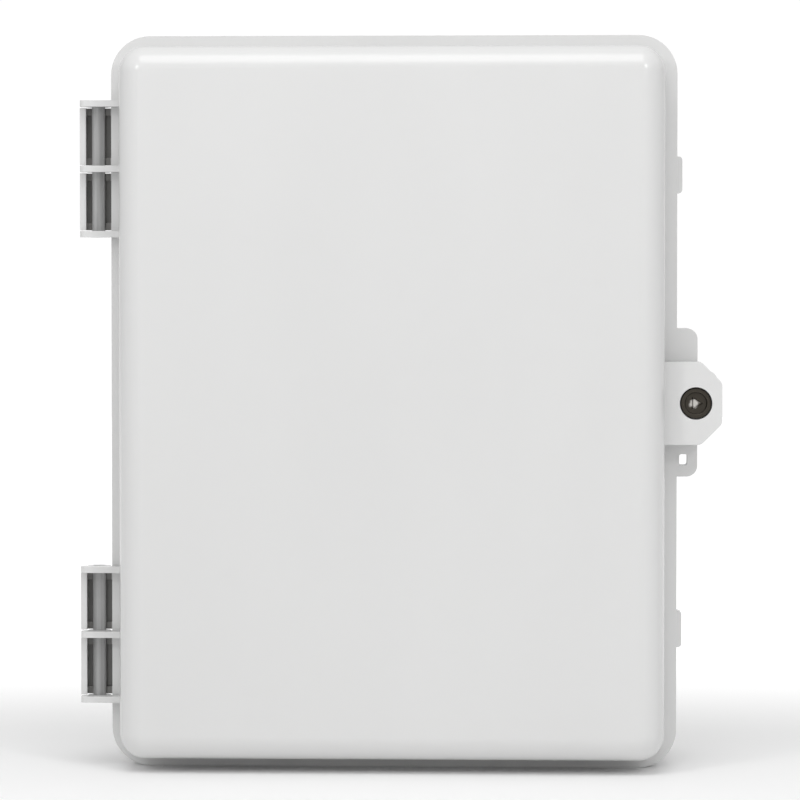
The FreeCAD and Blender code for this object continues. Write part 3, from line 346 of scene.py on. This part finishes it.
def clear_plastic(name):
    """Clear polycarbonate with a slight haze."""
    haze_scale, wave_scale = 120, 40
    wave_height = 0.02 * MM
    material, shader, where = new_material(name)
    links = material.node_tree.links
    haze = noise(material, where, haze_scale, 3.0)
    links.new(remap(material, haze, 0.05, 0.16), shader.inputs["Roughness"])
    bump(material, shader, noise(material, where, wave_scale, 1.0), wave_height, 0.4)
    shader.inputs["Base Color"].default_value = (0.93, 0.96, 0.97, 1)
    shader.inputs["Alpha"].default_value = 0.28
    shader.inputs["IOR"].default_value = 1.58
    return material


def shell_plastic():
    """The pale plastic of the base and the cover."""
    values = settings("shell")
    return moulded_plastic("shell_plastic", values.colour[:], values.roughness)


def inner_plastic():
    """The off-white plastic of the panel and the fittings."""
    return moulded_plastic("inner_plastic", settings("inner").colour[:], 0.5)


def seal_rubber():
    """The black rubber of the gasket, grommets and plugs."""
    return rubber("seal_rubber", (0.014, 0.014, 0.016))


def zinc_steel():
    """Zinc-plated steel of screws, clamps and pins."""
    return turned_metal("zinc_steel", (0.60, 0.60, 0.62), 0.32, (0.42, 0.41, 0.39))


def brushed_steel():
    """Sheet steel brushed along its length."""
    return turned_metal("brushed_steel", (0.66, 0.66, 0.67), 0.36, (0.50, 0.49, 0.47), (0.04, 1, 1), 1400)


def drawn_plastic():
    """Grey rod drawn through a die, with streaks along it."""
    streak_scale = 520
    streak_depth = 0.04 * MM
    colour = settings("shell").pin_colour
    material, shader, where = new_material("hinge_pin_plastic")
    links = material.node_tree.links
    streaks = noise(material, where, streak_scale, 2.0, (1, 1, 0.02))
    links.new(tint(material, remap(material, streaks, 0, 1), shade(colour, 0.78), shade(colour, 1.22)),
              shader.inputs["Base Color"])
    links.new(remap(material, streaks, 0.34, 0.5), shader.inputs["Roughness"])
    bump(material, shader, streaks, streak_depth, 0.6)
    return material


# ---- pieces ----

class TERMBOX_OT_front_cover(bpy.types.Operator):
    """Cover with its hinge arms and lock lug"""
    bl_idname = "termbox.front_cover"
    bl_label = "Front Cover"
    bl_options = {"REGISTER", "UNDO"}

    def execute(self, context):
        softened("front_cover", settings("shell").edge, shell_plastic(), 3)
        return {"FINISHED"}


class TERMBOX_OT_base_shell(bpy.types.Operator):
    """Base with its rim, hinge cradles and lock lug"""
    bl_idname = "termbox.base_shell"
    bl_label = "Base Shell"
    bl_options = {"REGISTER", "UNDO"}

    def execute(self, context):
        softened("base_shell", settings("shell").edge * 0.6, self.plastic_with_painted_trough_shade(), 3)
        return {"FINISHED"}

    def plastic_with_painted_trough_shade(self):
        """The shell's plastic, with painted shade: its colour made darker deep in the hinge troughs."""
        material = shell_plastic()
        nodes = material.node_tree.nodes
        links = material.node_tree.links
        shader = next(node for node in nodes if node.type == "BSDF_PRINCIPLED")
        where = next(node for node in nodes if node.type == "TEX_COORD").outputs["Object"]
        lower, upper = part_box("hinge_pin_lower"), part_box("hinge_pin_upper")
        middle = (lower[0].z + upper[1].z) / 2
        centred = nodes.new("ShaderNodeMapping")
        centred.inputs["Location"].default_value = (0, 0, -middle)
        axes = nodes.new("ShaderNodeSeparateXYZ")
        links.new(where, centred.inputs["Vector"])
        links.new(centred.outputs["Vector"], axes.inputs["Vector"])
        height = nodes.new("ShaderNodeMath")
        height.operation = "ABSOLUTE"
        links.new(axes.outputs["Z"], height.inputs[0])
        side, behind = 2.0 * MM, 0.6 * MM
        pin_middle = (upper[0].y + upper[1].y) / 2
        across = window(material, axes.outputs["X"], upper[0].x - side, upper[1].x + side, 0.6 * MM)
        deep = window(material, axes.outputs["Y"], pin_middle, upper[1].y + behind, 1.6 * MM)
        along = window(material, height.outputs[0], upper[0].z - middle, upper[1].z - middle, 0.2 * MM)
        inside = times(material, across, deep, along)
        # Painted shade: a darker colour multiplied into the plastic where shade falls inside the hinge
        # troughs.
        trough_shade = nodes.new("ShaderNodeMix")
        trough_shade.data_type = "RGBA"
        trough_shade.blend_type = "MULTIPLY"
        trough_shade.inputs["B"].default_value = (0.24, 0.235, 0.225, 1)
        clean = shader.inputs["Base Color"].links[0].from_socket
        links.new(inside, trough_shade.inputs["Factor"])
        links.new(clean, trough_shade.inputs["A"])
        links.new(trough_shade.outputs["Result"], shader.inputs["Base Color"])
        return material


class TERMBOX_OT_hinge_pins(bpy.types.Operator):
    """The two hinge pins"""
    bl_idname = "termbox.hinge_pins"
    bl_label = "Hinge Pins"
    bl_options = {"REGISTER", "UNDO"}

    def execute(self, context):
        plastic = drawn_plastic()
        for node in ("hinge_pin_lower", "hinge_pin_upper"):
            softened(node, settings("shell").edge, plastic, 3)
        return {"FINISHED"}


class TERMBOX_OT_lock(bpy.types.Operator):
    """Lock screw, clip, seal ring and brass insert"""
    bl_idname = "termbox.lock"
    bl_label = "Lock"
    bl_options = {"REGISTER", "UNDO"}

    def execute(self, context):
        screw_edge, clip_edge, ring_edge, insert_edge = 0.35 * MM, 0.15 * MM, 0.25 * MM, 0.3 * MM
        softened("lock_screw", screw_edge, self.metal_with_painted_glint(), 3)
        softened("lock_clip", clip_edge, zinc_steel())
        softened("lock_seal_ring", ring_edge, seal_rubber())
        brass = turned_metal("insert_brass", (0.60, 0.42, 0.15), 0.3, (0.38, 0.25, 0.09))
        softened("lock_insert", insert_edge, brass)
        return {"FINISHED"}

    def metal_with_painted_glint(self):
        """Blackened steel, with a painted glint: an uneven patch of bright metal a little off the middle of
        the drive post.
        """
        off_centre = Vector((-0.8 * MM, 0, -0.2 * MM))
        unevenness = 3.0 * MM
        glint_within, black_beyond = 2.6 * MM, 3.8 * MM
        grain_depth = 0.03 * MM
        material, shader, where = new_material("lock_metal")
        nodes = material.node_tree.nodes
        links = material.node_tree.links
        low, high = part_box("lock_screw")
        post = (low + high) / 2 + off_centre
        flat = nodes.new("ShaderNodeMapping")
        flat.inputs["Location"].default_value = (-post.x, 0, -post.z)
        flat.inputs["Scale"].default_value = (1, 0, 1)
        links.new(where, flat.inputs["Vector"])
        from_axis = nodes.new("ShaderNodeVectorMath")
        from_axis.operation = "LENGTH"
        links.new(flat.outputs["Vector"], from_axis.inputs[0])
        uneven = nodes.new("ShaderNodeMath")
        uneven.operation = "MULTIPLY_ADD"
        uneven.inputs[1].default_value = unevenness
        links.new(noise(material, where, 700, 2.0), uneven.inputs[0])
        links.new(from_axis.outputs["Value"], uneven.inputs[2])
        # Painted highlight: the bright metal colour stands in for the glint on the drive post, shifted off
        # its middle to where the glint falls.
        glint_patch = nodes.new("ShaderNodeMapRange")
        glint_patch.interpolation_type = "SMOOTHSTEP"
        glint_patch.inputs["From Min"].default_value = glint_within
        glint_patch.inputs["From Max"].default_value = black_beyond
        glint_patch.inputs["To Min"].default_value = 1.0
        glint_patch.inputs["To Max"].default_value = 0.0
        links.new(uneven.outputs[0], glint_patch.inputs["Value"])
        links.new(tint(material, glint_patch.outputs["Result"], (0.065, 0.058, 0.048), (0.62, 0.60, 0.57)),
                  shader.inputs["Base Color"])
        grain = noise(material, where, 1500, 3.0)
        links.new(remap(material, grain, 0.3, 0.5), shader.inputs["Roughness"])
        bump(material, shader, grain, grain_depth, 0.8)
        shader.inputs["Metallic"].default_value = 1.0
        return material


class TERMBOX_OT_seals(bpy.types.Operator):
    """Cover gasket, feeder grommets and drop port plugs"""
    bl_idname = "termbox.seals"
    bl_label = "Seals"
    bl_options = {"REGISTER", "UNDO"}

    def execute(self, context):
        black = seal_rubber()
        for node in ("cover_gasket", "feeder_grommet_left", "feeder_grommet_right", "drop_port_plugs"):
            softened(node, settings("shell").edge, black, 3)
        return {"FINISHED"}


class TERMBOX_OT_wall_fittings(bpy.types.Operator):
    """What is screwed to the back wall inside the base"""
    bl_idname = "termbox.wall_fittings"
    bl_label = "Wall Fittings"
    bl_options = {"REGISTER", "UNDO"}

    def execute(self, context):
        edge = settings("inner").edge
        plastic, steel = inner_plastic(), zinc_steel()
        for node in ("cable_tie_bar", "fibre_hooks", "panel_bracket_lower", "panel_bracket_upper",
                     "panel_catch"):
            softened(node, edge, plastic)
        for node in ("strength_clamp_left", "strength_clamp_right", "clamp_screws", "wall_screws"):
            softened(node, edge, steel)
        return {"FINISHED"}


class TERMBOX_OT_swing_panel(bpy.types.Operator):
    """The panel that swings out, its pins and its adapter shelf"""
    bl_idname = "termbox.swing_panel"
    bl_label = "Swing Panel"
    bl_options = {"REGISTER", "UNDO"}

    def execute(self, context):
        edge = settings("inner").edge
        plastic, steel = inner_plastic(), zinc_steel()
        for node in ("distribution_panel", "adapter_shelf", "splitter_clips"):
            softened(node, edge, plastic)
        for node in ("panel_pin_lower", "panel_pin_upper", "tray_screws", "shelf_screws"):
            softened(node, edge, steel)
        softened("splitter_module", edge, brushed_steel())
        return {"FINISHED"}


class TERMBOX_OT_splice_tray(bpy.types.Operator):
    """Splice tray with its comb and lid"""
    bl_idname = "termbox.splice_tray"
    bl_label = "Splice Tray"
    bl_options = {"REGISTER", "UNDO"}

    def execute(self, context):
        values = settings("inner")
        edge = values.edge
        softened("splice_tray", edge, moulded_plastic("tray_plastic", values.tray_colour[:], 0.45))
        softened("splice_holder_comb", edge, rubber("comb_rubber", (0.12, 0.12, 0.12)))
        softened("splice_tray_lid", edge, clear_plastic("clear_lid"))
        return {"FINISHED"}


class TERMBOX_OT_adapters(bpy.types.Operator):
    """The adapters and their dust caps"""
    bl_idname = "termbox.adapters"
    bl_label = "Adapters"
    bl_options = {"REGISTER", "UNDO"}

    def execute(self, context):
        edge = settings("inner").edge
        adapter = moulded_plastic("adapter_plastic", settings("inner").adapter_colour[:], 0.42)
        cap = moulded_plastic("cap_plastic", (0.80, 0.80, 0.80), 0.5)
        for node in sorted(frame["nodes"]):
            if node.startswith("adapter_") and node != "adapter_shelf":
                softened(node, edge, adapter)
            if node.startswith("dust_cap_"):
                softened(node, 2 * edge, cap)
        return {"FINISHED"}


# ---- stage ----

class TERMBOX_OT_stage(bpy.types.Operator):
    """Pale floor, soft light and the camera"""
    bl_idname = "termbox.stage"
    bl_label = "Stage"
    bl_options = {"REGISTER", "UNDO"}

    def execute(self, context):
        values = settings("stage")
        self.floor()
        low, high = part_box("front_cover")
        middle = Vector(((low.x + high.x) / 2, low.y, (low.z + high.z) / 2))
        self.light("top_light", middle, 0.9, (0, 62), (0.62, 0.55), values.top_light)
        for spot_azimuth in (-33, 33):
            self.light("spot_light", middle, 1.3, (spot_azimuth, 26), (0.10, 0.16), values.spot_light)
        self.room(values)
        self.camera(values)
        bpy.context.scene.view_settings.view_transform = "Standard"
        return {"FINISHED"}

    def floor(self):
        """A white floor that fades into the backdrop behind the box."""
        half_width = 4.0
        glow_begins, glow_full, glow_strength = 0.06, 0.5, 0.4
        bm = bmesh.new()
        bmesh.ops.create_grid(bm, x_segments=2, y_segments=2, size=half_width)
        floor = new_object(bm, "floor")
        material, shader, where = new_material("floor_white")
        nodes = material.node_tree.nodes
        links = material.node_tree.links
        cloud = remap(material, noise(material, where, 3, 2.0), 0.5, 0.6)
        links.new(cloud, shader.inputs["Roughness"])
        shader.inputs["Base Color"].default_value = (0.95, 0.95, 0.95, 1)
        axes = nodes.new("ShaderNodeSeparateXYZ")
        links.new(where, axes.inputs["Vector"])
        glow = self.ramp(nodes, links, axes.outputs["Y"], (glow_begins, glow_full), 0.0, glow_strength)
        shader.inputs["Emission Color"].default_value = (1, 1, 1, 1)
        links.new(glow, shader.inputs["Emission Strength"])
        floor.data.materials.append(material)

    def light(self, name, target, distance, angles, size, power):
        """A softbox that faces the target, at so many degrees round from the front and up."""
        azimuth, elevation = map(math.radians, angles)
        turn = Matrix.Rotation(azimuth, 3, "Z") @ Matrix.Rotation(-elevation, 3, "X")
        lamp = bpy.data.lights.new(name, "AREA")
        lamp.shape = "RECTANGLE"
        lamp.size, lamp.size_y = size
        lamp.energy = power
        thing = bpy.data.objects.new(name, lamp)
        thing.location = target + turn @ Vector((0, -distance, 0))
        thing.rotation_euler = (target - thing.location).to_track_quat("-Z", "Y").to_euler()
        bpy.context.scene.collection.objects.link(thing)

    def room(self, values):
        """Bright before, behind and above the box, and darker at its sides."""
        front_to_back, middle_to_side, level_to_up = (-0.4, 0.6), (0.25, 0.85), (0.12, 0.5)
        world = bpy.data.worlds.new("studio")
        world.use_nodes = True
        nodes = world.node_tree.nodes
        links = world.node_tree.links
        direction = nodes.new("ShaderNodeSeparateXYZ")
        links.new(nodes.new("ShaderNodeTexCoord").outputs["Generated"], direction.inputs["Vector"])
        sideways = nodes.new("ShaderNodeMath")
        sideways.operation = "ABSOLUTE"
        links.new(direction.outputs["X"], sideways.inputs[0])
        lengthways = self.ramp(nodes, links, direction.outputs["Y"], front_to_back,
                               values.front, values.back)
        walls = self.ramp(nodes, links, sideways.outputs[0], middle_to_side, lengthways, values.side)
        room = self.ramp(nodes, links, direction.outputs["Z"], level_to_up, walls, values.ceiling)
        nodes["Background"].inputs["Color"].default_value = (1, 1, 1, 1)
        links.new(room, nodes["Background"].inputs["Strength"])
        bpy.context.scene.world = world

    def ramp(self, nodes, links, value, span, first, last):
        """Go smoothly from one brightness to another as a value crosses a span."""
        node = nodes.new("ShaderNodeMapRange")
        node.interpolation_type = "SMOOTHSTEP"
        node.inputs["From Min"].default_value, node.inputs["From Max"].default_value = span
        node.inputs["To Max"].default_value = last
        if isinstance(first, float):
            node.inputs["To Min"].default_value = first
        else:
            links.new(first, node.inputs["To Min"])
        links.new(value, node.inputs["Value"])
        return node.outputs["Result"]

    def camera(self, values):
        """A long lens that looks at the middle of the rim, from a little to the lock side and above."""
        lens = bpy.data.cameras.new("camera")
        lens.sensor_width = 36.0
        lens.lens = lens.sensor_width * values.distance / values.view_width
        thing = bpy.data.objects.new("camera", lens)
        low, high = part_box("cover_gasket")
        target = Vector(((low.x + high.x) / 2 + CAMERA_SHIFT_ACROSS, low.y,
                         (low.z + high.z) / 2 + CAMERA_SHIFT_UP))
        turn = Matrix.Rotation(values.azimuth, 3, "Z") @ Matrix.Rotation(-values.elevation, 3, "X")
        thing.location = target + turn @ Vector((0, -values.distance, 0))
        thing.rotation_euler = (target - thing.location).to_track_quat("-Z", "Y").to_euler()
        bpy.context.scene.collection.objects.link(thing)
        bpy.context.scene.camera = thing


OPERATORS = (
    TERMBOX_OT_front_cover,
    TERMBOX_OT_base_shell,
    TERMBOX_OT_hinge_pins,
    TERMBOX_OT_lock,
    TERMBOX_OT_seals,
    TERMBOX_OT_wall_fittings,
    TERMBOX_OT_swing_panel,
    TERMBOX_OT_splice_tray,
    TERMBOX_OT_adapters,
    TERMBOX_OT_stage,
)


class TERMBOX_PT_panel(bpy.types.Panel):
    """Lists the pieces and their settings."""
    bl_idname = "TERMBOX_PT_panel"
    bl_label = "Termination Box"
    bl_space_type = "VIEW_3D"
    bl_region_type = "UI"
    bl_category = "Termination Box"

    def draw(self, context):
        for name in SETTINGS:
            group = getattr(context.scene, "termination_box_" + name)
            for prop in group.__annotations__:
                self.layout.prop(group, prop)
        for operator in OPERATORS:
            self.layout.operator(operator.bl_idname)


SETTINGS = {"shell": ShellSettings, "inner": InnerSettings, "stage": StageSettings}


def register():
    """Add the settings, the operators and the panel to Blender."""
    for name, group in SETTINGS.items():
        bpy.utils.register_class(group)
        setattr(bpy.types.Scene, "termination_box_" + name, bpy.props.PointerProperty(type=group))
    for operator in OPERATORS:
        bpy.utils.register_class(operator)
    bpy.utils.register_class(TERMBOX_PT_panel)


def unregister():
    """Take them away again."""
    bpy.utils.unregister_class(TERMBOX_PT_panel)
    for operator in reversed(OPERATORS):
        bpy.utils.unregister_class(operator)
    for name, group in SETTINGS.items():
        delattr(bpy.types.Scene, "termination_box_" + name)
        bpy.utils.unregister_class(group)


def main():
    """Build every piece and the stage."""
    register()
    for operator in OPERATORS:
        family, action = operator.bl_idname.split(".")
        getattr(getattr(bpy.ops, family), action)()


if __name__ == "__main__":
    main()
